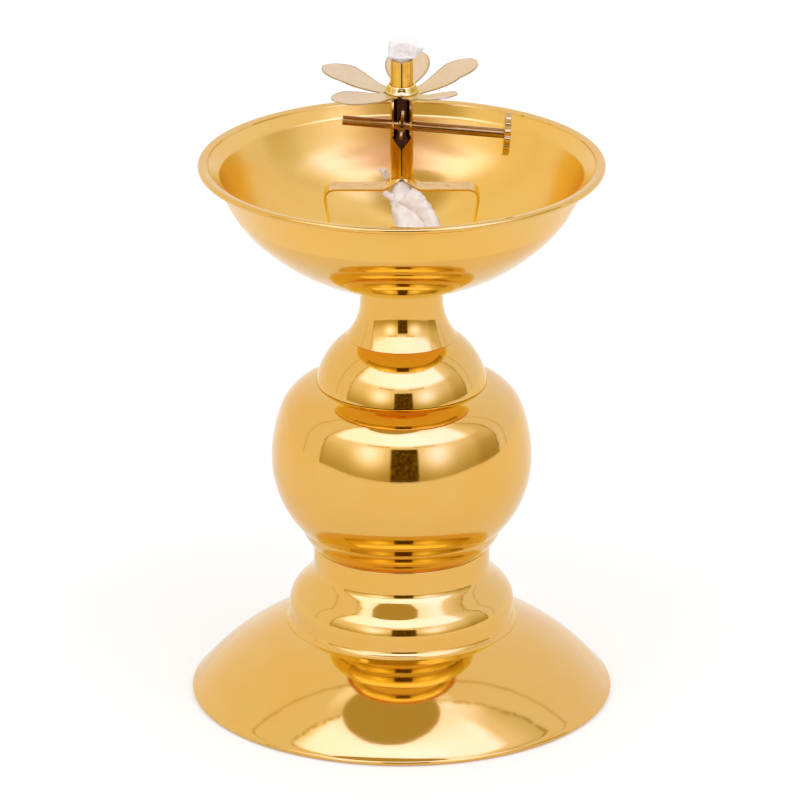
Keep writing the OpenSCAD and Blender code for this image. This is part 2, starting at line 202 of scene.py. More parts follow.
# ---------------------------------------------------------------- materials
def spun_brass(name, color, rough, rings, satin=0.0):
    """Brass with the fine rings of the spinning lathe, faint wavy unevenness and handling haze."""
    material, nodes, shader = new_material(name)
    ring, place = ring_space(nodes)
    fine = nodes.noise(ring, 5200, 3.0, 0.6)
    broad = nodes.noise(ring, 620, 2.0, 0.5)
    haze = nodes.noise(place, 55, 3.0, 0.6)
    wave = nodes.noise(ring, 130, 1.0, 0.4)
    warm = tuple(c * k for c, k in zip(color, (1.02, 0.95, 0.82))) + (1,)
    tint = nodes.mix(nodes.step(haze, 0.35, 0.7), tuple(color) + (1,), warm)
    nodes.put(shader, "Base Color", tint)
    nodes.put(shader, "Metallic", 1.0)
    spread = nodes.scaled(fine, 0.07, rough - 0.035)
    nodes.put(shader, "Roughness", nodes.scaled(nodes.step(haze, 0.5, 0.8), 0.025, spread))
    if satin:
        around = nodes.add("ShaderNodeTangent", {"direction_type": "RADIAL", "axis": "Z"})
        nodes.put(shader, "Anisotropic", satin)
        nodes.put(shader, "Tangent", around.outputs[0])
    slow = nodes.bump(wave, 0.35, 0.00012)
    middle = nodes.bump(broad, 0.25 * rings, 0.00002, slow)
    nodes.put(shader, "Normal", nodes.bump(fine, rings, 0.000002, middle))
    return material


def sheet_brass(name, color, rough, grain_axis):
    """Bright rolled sheet or rod with a faint grain along one axis."""
    material, nodes, shader = new_material(name)
    place = nodes.object_place()
    x, y, z = nodes.axes(place)
    squeeze = {"X": (0.06, 1, 1), "Z": (1, 1, 0.06)}[grain_axis]
    along = nodes.vector(*[nodes.times(v, k) for v, k in zip((x, y, z), squeeze)])
    grain = nodes.noise(along, 4200, 3.0, 0.6)
    haze = nodes.noise(place, 420, 3.0, 0.6)
    dark = tuple(c * k for c, k in zip(color, (0.86, 0.76, 0.6))) + (1,)
    nodes.put(shader, "Base Color", nodes.mix(nodes.step(haze, 0.4, 0.75), tuple(color) + (1,), dark))
    nodes.put(shader, "Metallic", 1.0)
    nodes.put(shader, "Roughness", nodes.scaled(grain, 0.12, rough - 0.06))
    nodes.put(shader, "Normal", nodes.bump(grain, 0.25, 0.00001, nodes.bump(haze, 0.2, 0.00006)))
    return material


def petal_metal():
    """Satin champagne brass, brushed and veined along each petal, darker and browner towards each petal's
    side edges.
    """
    material, nodes, shader = new_material("petal_satin")
    place = nodes.add("ShaderNodeUVMap", {"uv_map": "petal"}).outputs[0]
    u, v, _ = nodes.axes(place)
    veins = nodes.vector(nodes.times(u, 1.3), nodes.times(v, 16), 0.0)
    brushing = nodes.vector(nodes.times(u, 6), nodes.times(v, 70), 0.0)
    streak = nodes.noise(veins, 3.0, 4.0, 0.65)
    fine = nodes.noise(brushing, 3.0, 3.0, 0.6)
    edge = nodes.step(nodes.math("ABSOLUTE", v), 0.86, 1.0)
    pale = (0.88, 0.68, 0.46, 1)
    deep = (0.76, 0.51, 0.26, 1)
    rim = (0.47, 0.29, 0.12, 1)
    body = nodes.mix(nodes.step(streak, 0.38, 0.66), pale, deep)
    nodes.put(shader, "Base Color", nodes.mix(nodes.times(edge, 0.75), body, rim))
    nodes.put(shader, "Metallic", 1.0)
    nodes.put(shader, "Roughness", nodes.scaled(fine, 0.16, 0.3))
    nodes.put(shader, "Normal", nodes.bump(fine, 0.4, 0.00003, nodes.bump(streak, 0.5, 0.0001)))
    return material


def plated_steel():
    """Zinc plate: dull grey with a faint crystal bloom."""
    material, nodes, shader = new_material("zinc_plate")
    place = nodes.object_place()
    bloom = nodes.noise(place, 900, 4.0, 0.7)
    light, dull = (0.62, 0.61, 0.56, 1), (0.46, 0.46, 0.45, 1)
    nodes.put(shader, "Base Color", nodes.mix(nodes.step(bloom, 0.3, 0.7), light, dull))
    nodes.put(shader, "Metallic", 1.0)
    nodes.put(shader, "Roughness", nodes.scaled(bloom, 0.2, 0.25))
    nodes.put(shader, "Normal", nodes.bump(bloom, 0.3, 0.00004))
    return material


def cotton(name, pale, shade):
    """Loose twisted cotton with matted fibres, and a second tone in patches."""
    material, nodes, shader = new_material(name)
    place = nodes.object_place()
    x, y, z = nodes.axes(place)
    drawn = nodes.vector(x, y, nodes.times(z, 0.25))
    fibre = nodes.noise(drawn, 2600, 4.0, 0.7)
    clump = nodes.noise(place, 520, 3.0, 0.6)
    nodes.put(shader, "Base Color", nodes.mix(nodes.step(clump, 0.35, 0.7), pale + (1,), shade + (1,)))
    nodes.put(shader, "Roughness", nodes.scaled(fibre, 0.15, 0.82))
    nodes.put(shader, "Sheen Weight", 0.35)
    nodes.put(shader, "Sheen Roughness", 0.5)
    nodes.put(shader, "Subsurface Weight", 0.25)
    nodes.put(shader, "Subsurface Radius", (0.0012, 0.001, 0.0009))
    nodes.put(shader, "Normal", nodes.bump(fibre, 0.7, 0.00015, nodes.bump(clump, 0.6, 0.0003)))
    return material


# ---------------------------------------------------------------- mesh helpers
def mesh_object(name, bm):
    """Turns a bmesh into an object in the scene."""
    mesh = bpy.data.meshes.new(name)
    bm.to_mesh(mesh)
    bm.free()
    thing = bpy.data.objects.new(name, mesh)
    bpy.context.collection.objects.link(thing)
    return thing


def to_metres(bm):
    """Scales a bmesh in millimetres to metres, with its faces turned outwards."""
    bmesh.ops.scale(bm, vec=(MM, MM, MM), verts=bm.verts)
    bmesh.ops.recalc_face_normals(bm, faces=bm.faces)


def shade(mesh, sharp):
    """Smooth shading, apart from edges sharper than an angle in degrees."""
    mesh.shade_smooth()
    mesh.set_sharp_from_angle(angle=math.radians(sharp))


def finish_mesh(name, bm, body, materials, sharp=28, weld=1e-7):
    """Turns a bmesh in millimetres into a smooth-shaded piece on a body."""
    bmesh.ops.remove_doubles(bm, verts=bm.verts, dist=weld / MM)
    to_metres(bm)
    piece = mesh_object(name, bm)
    for material in materials:
        piece.data.materials.append(material)
    shade(piece.data, sharp)
    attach(piece, body)
    return piece


def circle_angles(count):
    """Evenly spaced angles round a whole turn, in radians."""
    return [2 * math.pi * k / count for k in range(count)]


def join_rings(bm, rings):
    """Faces between each ring of points and the next."""
    for a, b in zip(rings, rings[1:]):
        for k in range(len(a)):
            j = (k + 1) % len(a)
            bm.faces.new((a[k], a[j], b[j], b[k]))


def arc(cx, cz, r, start, end, step=2.0):
    """Points on an arc, from one angle to the other in degrees."""
    count = max(2, int(abs(end - start) / step))
    angles = [math.radians(start + (end - start) * i / count) for i in range(count + 1)]
    return [(cx + r * math.cos(a), cz + r * math.sin(a)) for a in angles]


def inset(line, depth):
    """The same line moved to the left of its direction."""
    moved = []
    for i, (r, z) in enumerate(line):
        (r0, z0), (r1, z1) = line[max(i - 1, 0)], line[min(i + 1, len(line) - 1)]
        long = math.hypot(r1 - r0, z1 - z0)
        moved.append((r - depth * (z1 - z0) / long, z + depth * (r1 - r0) / long))
    return moved


def eased(line, radius):
    """The line with each of its corners over 20 degrees cut to a small round."""
    out = []
    for i, point in enumerate(line):
        if i in (0, len(line) - 1):
            out.append(point)
            continue
        here, before, after = Vector(point), Vector(line[i - 1]), Vector(line[i + 1])
        a, b = before - here, after - here
        if a.length < 1e-6 or b.length < 1e-6 or a.angle(b) > math.radians(160):
            out.append(point)
            continue
        cut = min(radius, a.length * 0.45, b.length * 0.45)
        p, q = here + a.normalized() * cut, here + b.normalized() * cut
        for t in (0, 0.25, 0.5, 0.75, 1):
            out.append(tuple(p * (1 - t) ** 2 + here * 2 * t * (1 - t) + q * t * t))
    return out


def lathe(bm, outline, steps=LATHE_STEPS, turn=None):
    """Adds a closed outline in (radius, height), turned about Z."""
    turn = turn or Matrix.Identity(4)
    rings = []
    for a in circle_angles(steps):
        rings.append([bm.verts.new(turn @ Vector((r * math.cos(a), r * math.sin(a), z)))
                      for r, z in outline])
    count = len(outline)
    faces = []
    for k in range(steps):
        here, there = rings[k], rings[(k + 1) % steps]
        for i in range(count):
            j = (i + 1) % count
            faces.append(bm.faces.new((here[i], there[i], there[j], here[j])))
    return faces


def spun(name, outline, body, material):
    bm = bmesh.new()
    lathe(bm, outline)
    return finish_mesh(name, bm, body, [material])


# ---------------------------------------------------------------- pedestal
SKIRT_ARC = (BASE_R - 40.15, -29.3, 50.1)
SKIRT_HEM = 0.8
SKIRT_FOOT_W = 3.4
SKIRT_FLAT_R = 24
DRUM_R = 26.7
COLLAR_R = 20.9
BEAD_ARC = (10.2, 47.35, 14.8)
BALL_MID = 59
DOME_ARC = (3.9, 75.5, 16.5)
DOME_IN_R = 12.9
NECK_R = 9.85
NECK_ARC_R = 12.4
NECK_ARC_TURN = 27
NECK_WAIST_Z = 98.0
NECK_FOOT_R = 13.05


def on_arc(circle, r=None, z=None):
    """The angle on a circle, in degrees, where it reaches a radius or a height on its outer side."""
    cx, cz, radius = circle
    return math.degrees(math.acos((r - cx) / radius) if z is None else math.asin((z - cz) / radius))


def skirt_outline():
    cx, cz, radius = SKIRT_ARC
    low, high = on_arc(SKIRT_ARC, z=SKIRT_HEM), on_arc(SKIRT_ARC, r=SKIRT_FLAT_R)
    top = cz + radius * math.sin(math.radians(high))
    inner = (cx, cz, radius - WALL)
    outer = arc(BASE_R - SKIRT_HEM, SKIRT_HEM, SKIRT_HEM, -90, 0, 8)
    outer += [(BASE_R - 0.12, SKIRT_HEM + 0.35), (BASE_R - 0.42, SKIRT_HEM + 0.55)]
    outer += arc(cx, cz, radius, low + 1.5, high, 1.0)
    under = arc(cx, cz, radius - WALL, on_arc(inner, z=top - WALL), on_arc(inner, z=WALL), 2)
    return eased([(BASE_R - SKIRT_FOOT_W, 0)] + outer + [(ROD_HOLE_R, top), (ROD_HOLE_R, top - WALL)]
                 + under + [(BASE_R - SKIRT_FOOT_W, WALL)], 0.2)


def skirt_z(r):
    cx, cz, radius = SKIRT_ARC
    return cz + math.sqrt(radius ** 2 - (r - cx) ** 2)


def drum_outline():
    """A flared foot, a vertical band, a round bulge, a slope and the collar."""
    foot = skirt_z(DRUM_R - 0.2)
    bulge_x, bulge_r = DRUM_R - 7.2, 7.2
    line = [(DRUM_R + 0.74, skirt_z(DRUM_R + 0.74) + 0.02)]
    line += arc(DRUM_R + 1.6, foot + 1.7, 1.6, 235, 180, 9)
    line += arc(bulge_x, 22, bulge_r, 0, 46)
    line += [(bulge_x + 3.7, 28.45), (bulge_x + 2.45, 29.65)]
    line += [(COLLAR_R + 0.45, 30.35), (COLLAR_R + 0.1, 31.1), (COLLAR_R, 32), (COLLAR_R, DRUM_TOP)]
    inner = inset(line, WALL)[::-1]
    top = [(ROD_HOLE_R, DRUM_TOP), (ROD_HOLE_R, DRUM_TOP - WALL), (COLLAR_R - WALL, DRUM_TOP - WALL)]
    return eased(line + top + inner[1:-1] + [(DRUM_R - 0.2, foot)], 0.18)


def bead_outline():
    cx, cz, radius = BEAD_ARC
    edge = cx + radius * math.cos(math.radians(on_arc(BEAD_ARC, z=BEAD_TOP)))
    outer = arc(cx, cz, radius, on_arc(BEAD_ARC, z=DRUM_TOP + 0.05), on_arc(BEAD_ARC, z=BEAD_TOP), 1)
    lip = [(edge - WALL, BEAD_TOP), (edge - WALL, BEAD_TOP + 1.5),
           (edge - 2 * WALL, BEAD_TOP + 1.5), (edge - 2 * WALL, DRUM_TOP + 3)]
    plate = [(COLLAR_R - WALL, DRUM_TOP + WALL), (ROD_HOLE_R, DRUM_TOP + WALL)]
    return eased([(ROD_HOLE_R, DRUM_TOP)] + outer + lip + plate, 0.2)


def ball_outline():
    """Arcs below the widest level, above it and round the shoulder, as the CAD solid has them."""
    low_r, mid_r, turn, top_r = 24.4, 34, 20.5, 11
    turn_x = BALL_R - mid_r + mid_r * math.cos(math.radians(turn))
    turn_z = BALL_MID + mid_r * math.sin(math.radians(turn))
    top_x = turn_x - top_r * math.cos(math.radians(turn))
    top_z = turn_z - top_r * math.sin(math.radians(turn))
    low = -math.degrees(math.asin((BALL_MID - BEAD_TOP) / low_r))
    outer = arc(BALL_R - low_r, BALL_MID, low_r, low, 0, 1.5)
    outer += arc(BALL_R - mid_r, BALL_MID, mid_r, 1, turn, 1)
    outer += arc(top_x, top_z, top_r, turn + 2, 90, 2)
    inner = inset(outer, WALL)[::-1]
    return eased(outer + [(ROD_HOLE_R, BALL_TOP), (ROD_HOLE_R, BALL_TOP - WALL)] + inner, 0.2)


def dome_outline():
    cx, cz, radius = DOME_ARC
    outer = arc(cx, cz, radius, on_arc(DOME_ARC, z=BALL_TOP - 0.05), on_arc(DOME_ARC, r=DOME_IN_R), 1)
    inner = inset(outer, WALL)[::-1]
    return eased(outer + [(ROD_HOLE_R, outer[-1][1]), (ROD_HOLE_R, outer[-1][1] - WALL)] + inner, 0.2)


def neck_outline():
    """A hollow curve that runs out into a cone at its foot."""
    cx, cz, radius = DOME_ARC
    foot = cz + math.sqrt(radius ** 2 - (DOME_IN_R - cx) ** 2)
    line = [(NECK_FOOT_R, foot), (12.56, 90.05), (12.03, 90.87), (11.6, 91.65)]
    line += arc(NECK_R + NECK_ARC_R, NECK_WAIST_Z, NECK_ARC_R, 180 + NECK_ARC_TURN, 180, 2)
    line += [(NECK_R, 99), (NECK_R + 0.1, 100), (NECK_R + 0.25, 101), (NECK_R + 0.45, NECK_TOP - 0.02)]
    inner = [p for p in inset(line, WALL)[::-1] if p[1] > foot + WALL]
    return eased(line + inner + [(ROD_HOLE_R, foot + WALL), (ROD_HOLE_R, foot)], 0.15)


# ---------------------------------------------------------------- bowl
def bowl_outline():
    """The outer line, from the axis to the lip's bead, and the inner line, back to the axis."""
    turn_r, turn_from, lean = 24.7, 45.5, 28.4
    turn_x = (BOWL_SPHERE_R - turn_r) * math.sin(math.radians(turn_from))
    turn_z = BOWL_Z - (BOWL_SPHERE_R - turn_r) * math.cos(math.radians(turn_from))
    cos, sin = math.cos(math.radians(lean)), math.sin(math.radians(lean))
    foot = Vector((turn_x + turn_r * cos, turn_z - turn_r * sin))
    length = (LIP_Z - WALL - 0.6 - foot.y) / cos
    head = foot + length * Vector((sin, cos))
    in_foot = foot + WALL * Vector((-cos, sin))
    in_head = in_foot + 2.2 * Vector((sin, cos))
    bead_r = 0.75
    outer = arc(0, BOWL_Z, BOWL_SPHERE_R, -90, -90 + turn_from, 1.5)
    outer += arc(turn_x, turn_z, turn_r, -88 + turn_from, -lean, 1.5)
    outer += [tuple(foot.lerp(head, 0.5)), tuple(head)]
    outer += [(head.x + 0.3, head.y + 0.35), (head.x + 0.8, LIP_Z - WALL)]
    bead = arc(LIP_R - bead_r, LIP_Z - bead_r, bead_r, -150, 90, 12)
    groove = [(45.66, LIP_Z - 0.3), (45.54, LIP_Z - 0.62), (45.38, LIP_Z - 0.66)]
    flange = [(45.24, LIP_Z - 0.55), (43.0, 129.94), (42.74, 129.7), (42.6, 129.45), (42.42, 129.02)]
    inner = groove + flange + [tuple(in_head), tuple(in_foot)]
    inner += arc(turn_x, turn_z, turn_r - WALL, -lean, -90 + turn_from, 1.5)
    inner += arc(0, BOWL_Z, BOWL_SPHERE_R - WALL, -91.5 + turn_from, -90, 1.5)
    return outer + bead, inner


def make_bowl(polished, satin):
    """One lathe surface, polished outside and on the lip, and left satin from the lathe inside."""
    outer, inner = bowl_outline()
    bm = bmesh.new()
    outline = outer[1:] + inner[:-1]
    faces = lathe(bm, [(max(r, 0.02), z) for r, z in [outer[0]] + outline + [inner[-1]]])
    for face in faces:
        centre = face.calc_center_median()
        r = math.hypot(centre.x, centre.y)
        inside = math.hypot(r, BOWL_Z - centre.z) < BOWL_SPHERE_R - WALL / 2
        if inside and r < 45.2 and centre.z < LIP_Z - 0.6:
            face.material_index = 1
    return finish_mesh("bowl_spun", bm, "root", [polished, satin])


# ---------------------------------------------------------------- wick stand
LEG_X = 17.8
LEG_LOW = (15.4, 107.6)
FOOT_X = 20.0
STRIP_HALF = 3.1
SHOULDER_Z = 126.0
UNROLL_TOP = 129.3
EAR_Y = -4.9
EAR_X = 2.1
BEARING_R = 1.24
MID_R = TUBE_R - SHEET / 2


def window_half(z):
    """Half the width of the gap down the tube's front at a height: a seam, or the wheel's window."""
    seam = 0.12
    if 136.2 < z <= 138.9:
        return seam + (EAR_X - seam) * (z - 136.2) / 2.7
    if 138.9 < z < 148.9:
        return EAR_X
    if 148.9 <= z < 149.6:
        return EAR_X - (EAR_X - seam) * (z - 148.9) / 0.7
    return seam


def ear_reach(z):
    """How far the ears stand forward of the tube's axis at a height, as a negative y, or None."""
    low, high, middle = 139.2, 149.0, 142.4
    if not low <= z <= high:
        return None
    if z < middle:
        share = (z - low) / (middle - low)
        return -1.5 + (EAR_Y + 1.5) * math.sqrt(max(0.0, 1 - (1 - share) ** 2))
    share = min(1.0, (z - middle) / (high - middle))
    return EAR_Y + (-3.0 - EAR_Y) * share ** 2.2


def tube_row(z, count):
    """Points of half the tube's wall at a height, from the ear or seam at the front to the back."""
    gap = math.asin(min(0.99, window_half(z) / MID_R))
    front = Vector((MID_R * math.sin(gap), -MID_R * math.cos(gap)))
    reach = ear_reach(z)
    ear = max(0.0, front.y - reach) if reach is not None else 0.0
    bend = (math.pi - gap) * MID_R
    points = []
    for i in range(count + 1):
        s = (ear + bend) * i / count
        if s < ear:
            points.append(Vector((front.x, front.y - ear + s, z)))
        else:
            a = gap + (s - ear) / MID_R
            points.append(Vector((MID_R * math.sin(a), -MID_R * math.cos(a), z)))
    return points


def floor_z(x):
    """The height of the foot's middle where it lies on the bowl's floor, under the strip's edges."""
    clear = 0.35
    return BOWL_Z - math.sqrt((BOWL_SPHERE_R - WALL - clear - SHEET / 2) ** 2 - x * x - STRIP_HALF ** 2)


def strip_path():
    """The strip's middle: down from the tube, out along the bridge, down the leg and out along the foot."""
    bend, corner = 2.3, 2.4
    bridge_z = SHOULDER_Z + SHEET / 2
    path = [Vector((MID_R, z)) for z in (129.1, 128.8)]
    path += [Vector(p) for p in arc(MID_R + bend, bridge_z + bend, bend, 180, 270, 15)]
    path += [Vector((x, bridge_z)) for x in (7.0, 10.0, 13.0)]
    path += [Vector(p) for p in arc(LEG_X + SHEET / 2 - corner, bridge_z - corner, corner, 90, 0, 15)]
    low = Vector((LEG_LOW[0] + SHEET / 2, LEG_LOW[1]))
    top = path[-1]
    path += [top.lerp(low, t) for t in (0.25, 0.5, 0.75, 0.95)]
    path += [Vector((low.x + 0.35, low.y - 1.0)), Vector((low.x + 1.1, floor_z(low.x + 1.1) + 0.15))]
    path += [Vector((x, floor_z(x))) for x in (17.6, 18.6, 19.3, FOOT_X)]
    return path


def stand_half(bm, side, columns=22):
    """Half of the folded strip: the tube's rows, then the strip's rows, which unroll from round to flat."""
    tube_step, unroll_rows = 0.35, 10
    rows = []
    heights = [TUBE_TOP - 0.02] + [TUBE_TOP - tube_step - tube_step * k for k in range(1, 76)]
    heights = [z for z in heights if z > UNROLL_TOP] + [UNROLL_TOP]
    for z in heights:
        rows.append(tube_row(z, columns))
    path = strip_path()
    total = len(path)
    for i, centre in enumerate(path):
        share = min(1.0, max(0.0, (UNROLL_TOP - centre.y) / (UNROLL_TOP - SHOULDER_Z - 0.6)))
        share = share * share * (3 - 2 * share) if i < unroll_rows else 1.0
        wide = STRIP_HALF * (1 - 0.12 * math.sin(math.pi * min(1, i / total)))
        end = max(0, i - (total - 4)) / 3
        row = []
        for k in range(columns + 1):
            u = 2 * k / columns - 1
            flat = Vector((centre.x, u * wide * (1 - 0.25 * end * u * u), centre.y))
            round_ = tube_row(max(centre.y, 128.0), columns)[k]
            round_ = Vector((round_.x + (centre.x - MID_R), round_.y, centre.y))
            row.append(round_.lerp(flat, share))
        rows.append(row)
    grid = [[bm.verts.new((p.x * side, p.y, p.z)) for p in row] for row in rows]
    for a, b in zip(grid, grid[1:]):
        for k in range(columns):
            corners = (a[k], a[k + 1], b[k + 1], b[k])
            bm.faces.new(corners if side > 0 else corners[::-1])


def spindle_turn():
    """Matrix that takes local X, at the spindle's middle, to the spindle's slanted axis, in millimetres."""
    axis = Vector(SPINDLE["axis"])
    pos = Vector(SPINDLE["pos_m"]) / MM
    return Matrix.Translation(pos) @ Vector((1, 0, 0)).rotation_difference(axis).to_matrix().to_4x4()


def bearing_cutter():
    """A bar along the spindle that cuts its bearing holes in the ears."""
    bm = bmesh.new()
    place = spindle_turn()
    rings = []
    for x in (-5, 5):
        points = [Vector((x, BEARING_R * math.cos(a), BEARING_R * math.sin(a))) for a in circle_angles(40)]
        rings.append([bm.verts.new(place @ point) for point in points])
    join_rings(bm, rings)
    bm.faces.new(rings[0][::-1])
    bm.faces.new(rings[1])
    to_metres(bm)
    return mesh_object("cutter", bm)


def make_stand(material):
    """One folded sheet: tube with seam and window, ears, bridge, legs and feet."""
    bm = bmesh.new()
    stand_half(bm, 1)
    stand_half(bm, -1)
    piece = finish_mesh("wick_stand_sheet", bm, "stand", [material], sharp=50, weld=2e-5)
    thicken = piece.modifiers.new("thickness", "SOLIDIFY")
    thicken.thickness, thicken.offset, thicken.use_even_offset = SHEET * MM, 0, True
    cutter = bearing_cutter()
    cut = piece.modifiers.new("bearing_holes", "BOOLEAN")
    cut.object, cut.operation, cut.solver = cutter, "DIFFERENCE", "EXACT"
    bake_modifiers(piece, 35)
    bpy.data.objects.remove(cutter)
    return piece


def bake_modifiers(piece, sharp):
    """Replaces a piece's mesh by the one its modifiers give."""
    graph = bpy.context.evaluated_depsgraph_get()
    mesh = bpy.data.meshes.new_from_object(piece.evaluated_get(graph))
    piece.modifiers.clear()
    piece.data = mesh
    shade(mesh, sharp)


# ---------------------------------------------------------------- spindle, wheel and knob
SPINDLE_R = 1.15
SPINDLE_LEFT, SPINDLE_RIGHT = -13.9, 25.4
KNOB_AT, KNOB_W, KNOB_R, KNOB_FLUTES = 23.8, 1.6, 5.0, 14
WHEEL_R, WHEEL_ROOT, WHEEL_W, WHEEL_TEETH = 3.5, 2.5, 0.7, 12


def on_spindle():
    """Matrix for pieces modelled about Z, along the spindle."""
    return spindle_turn() @ Matrix.Rotation(math.radians(90), 4, "Y")


def make_spindle(material):
    bm = bmesh.new()
    r, left, right = SPINDLE_R, SPINDLE_LEFT, SPINDLE_RIGHT
    outline = [(0.02, left), (r - 0.25, left), (r - 0.06, left + 0.08), (r, left + 0.3), (r, KNOB_AT - 0.3),
               (r, KNOB_AT + KNOB_W), (r + 0.35, KNOB_AT + KNOB_W + 0.01), (r + 0.3, right - 0.25),
               (r - 0.1, right - 0.04), (0.02, right)]
    lathe(bm, outline, 48, on_spindle())
    return finish_mesh("spindle_rod", bm, "spindle", [material], sharp=40)


def toothed_disc(bm, profile, levels):
    """A disc on the spindle. Its rim follows profile(angle), less the shrink at each (height, shrink)."""
    place = on_spindle()
    angles = circle_angles(336)
    rings = []
    for z, shrink in levels:
        rings.append([bm.verts.new(place @ Vector(((profile(a) - shrink) * math.cos(a),
                                                   (profile(a) - shrink) * math.sin(a), z)))
                      for a in angles])
    for z in (levels[-1][0], levels[0][0]):
        rings.append([bm.verts.new(place @ Vector((SPINDLE_R * math.cos(a), SPINDLE_R * math.sin(a), z)))
                      for a in angles])
    join_rings(bm, rings + rings[:1])


def make_wheel(material):
    def rim(a):
        share = (a * WHEEL_TEETH / (2 * math.pi)) % 1.0
        return WHEEL_ROOT + (WHEEL_R - WHEEL_ROOT) * (1 - min(share, 1 - share) * 2) ** 1.3
    bm = bmesh.new()
    half = WHEEL_W / 2
    toothed_disc(bm, rim, [(-half, 0.1), (-half + 0.08, 0), (half - 0.08, 0), (half, 0.1)])
    hub = [(SPINDLE_R, -0.8), (1.7, -0.8), (1.8, -0.7), (1.8, 0.7), (1.7, 0.8), (SPINDLE_R, 0.8)]
    lathe(bm, hub, 48, on_spindle())
    return finish_mesh("wick_wheel_toothed", bm, "spindle", [material], sharp=30)


def make_knob(material):
    def rim(a):
        return KNOB_R - 0.42 * (0.5 + 0.5 * math.cos(a * KNOB_FLUTES)) ** 2.2
    bm = bmesh.new()
    low, high = KNOB_AT, KNOB_AT + KNOB_W
    levels = [(low, 0.3), (low + 0.06, 0.12), (low + 0.2, 0)]
    levels += [(high - 0.2, 0), (high - 0.06, 0.12), (high, 0.3)]
    toothed_disc(bm, rim, levels)
    return finish_mesh("knob_fluted", bm, "spindle", [material], sharp=32)


# ---------------------------------------------------------------- flower
PETALS = [(18, 23.5, 0.94), (84, 17, 0.93), (162, 17, 0.96), (221, 7.5, 0.97), (306, 15, 0.9)]
PETAL_LENGTH, PETAL_HALF = 16.6, 5.3
RING_R, RING_HOLE = 4.4, 3.4


def petal_half_width(t):
    """Narrow at the root, widest past the middle, and round at the tip."""
    widest = 0.62
    if t < widest:
        swell = math.sin(math.pi / 2 * t / widest) ** 1.15
    else:
        swell = math.sqrt(max(0.0, 1 - ((t - widest) / (1 - widest)) ** 2.3))
    return 1.9 * (1 - t) ** 2 + (PETAL_HALF - 0.15) * swell


def petal_point(azimuth, lift, size, t, v):
    """A point of the sheet's middle: t runs out from the hole's edge, v from one edge to the other."""
    root = 0.16
    a = math.radians(azimuth)
    if t < root:
        r = RING_HOLE + (RING_R - RING_HOLE) * t / root
        spread = math.radians(36) * v
        return Vector((r * math.cos(a + spread), r * math.sin(a + spread), 0.0))
    s = (t - root) / (1 - root)
    ease = min(1.0, s / 0.14)
    spread = math.radians(36) * v
    ring = Vector((RING_R * math.cos(spread), RING_R * math.sin(spread), 0.0))
    reach = PETAL_LENGTH * size * s
    bend = math.radians(lift) * min(1.0, 0.35 + s * 1.1)
    half = petal_half_width(s) * (0.55 + 0.45 * size)
    y = v * half
    cup = 0.55 * v * v * math.sin(math.pi * min(1, s * 1.1)) * size
    ripple = 0.12 * noise.noise(Vector((s * 3 + azimuth, v * 1.5, 0)))
    flat = Vector((RING_R - 0.2 + reach * math.cos(bend), y, reach * math.sin(bend) * 0.96 + cup + ripple))
    local = ring.lerp(flat, ease * ease * (3 - 2 * ease))
    return Matrix.Rotation(a, 3, "Z") @ local


def make_petals(material):
    bm = bmesh.new()
    uv = bm.loops.layers.uv.new("petal")
    rows, columns = 44, 14
    for azimuth, lift, size in PETALS:
        grid = []
        for i in range(rows + 1):
            t = i / rows
            grid.append([bm.verts.new(petal_point(azimuth, lift, size, t, 2 * k / columns - 1)
                                      + Vector((0, 0, ROSETTE_Z + 0.18))) for k in range(columns + 1)])
        for i in range(rows):
            for k in range(columns):
                face = bm.faces.new((grid[i][k], grid[i + 1][k], grid[i + 1][k + 1], grid[i][k + 1]))
                for loop, (di, dk) in zip(face.loops, ((0, 0), (1, 0), (1, 1), (0, 1))):
                    loop[uv].uv = ((i + di) / rows + azimuth, 2 * (k + dk) / columns - 1)
    piece = finish_mesh("petals_stamped", bm, "flower", [material], sharp=60, weld=3e-5)
    thicken = piece.modifiers.new("thickness", "SOLIDIFY")
    thicken.thickness, thicken.offset = 0.0003, 0
    bake_modifiers(piece, 60)
    return piece


def make_collar(material):
    """The eyelet: a rounded cone with a rolled foot, a tight mouth and a small dent in front."""
    z, hole = ROSETTE_Z + 0.36, TUBE_R + 0.08
    foot = [(hole, ROSETTE_Z + 0.02), (3.3, ROSETTE_Z + 0.02), (3.35, z), (3.75, z), (3.88, z + 0.12),
            (3.85, z + 0.3), (3.7, z + 0.45)]
    cone = [(3.58, z + 0.8), (3.48, z + 1.2), (3.38, z + 1.6), (3.26, z + 1.85), (3.05, z + 1.95)]
    outline = foot + cone + [(hole, z + 1.95)]
    bm = bmesh.new()
    lathe(bm, eased(outline + outline[:1], 0.12)[:-1], 72)
    for vert in bm.verts:
        front = math.atan2(vert.co.x, -vert.co.y)
        if math.hypot(vert.co.x, vert.co.y) > hole + 0.3 and vert.co.z > z:
            dent = 0.28 * math.exp(-(front / 0.22) ** 2 - ((vert.co.z - z - 1.0) / 0.45) ** 2)
            vert.co.y += dent
    return finish_mesh("collar_eyelet", bm, "flower", [material], sharp=45)


# ---------------------------------------------------------------- wick
TAIL_MM = [
    (0.0, 0.0, 127.7), (0.1, -0.5, 125.5), (0.6, -1.7, 122.6), (1.4, -3.2, 119.8),
    (2.6, -5.0, 116.8), (4.2, -7.2, 113.8), (5.8, -9.8, 111.0), (7.2, -12.7, 109.2),
    (7.9, -16.0, 108.8), (7.4, -19.4, 109.6), (5.2, -22.4, 110.8), (1.8, -23.9, 111.4),
    (-1.9, -23.7, 111.3), (-5.2, -21.9, 110.6), (-7.6, -19.0, 109.5), (-8.8, -15.6, 108.4),
    (-8.8, -12.0, 107.2), (-7.8, -8.8, 106.3), (-5.6, -6.0, 105.6),
]


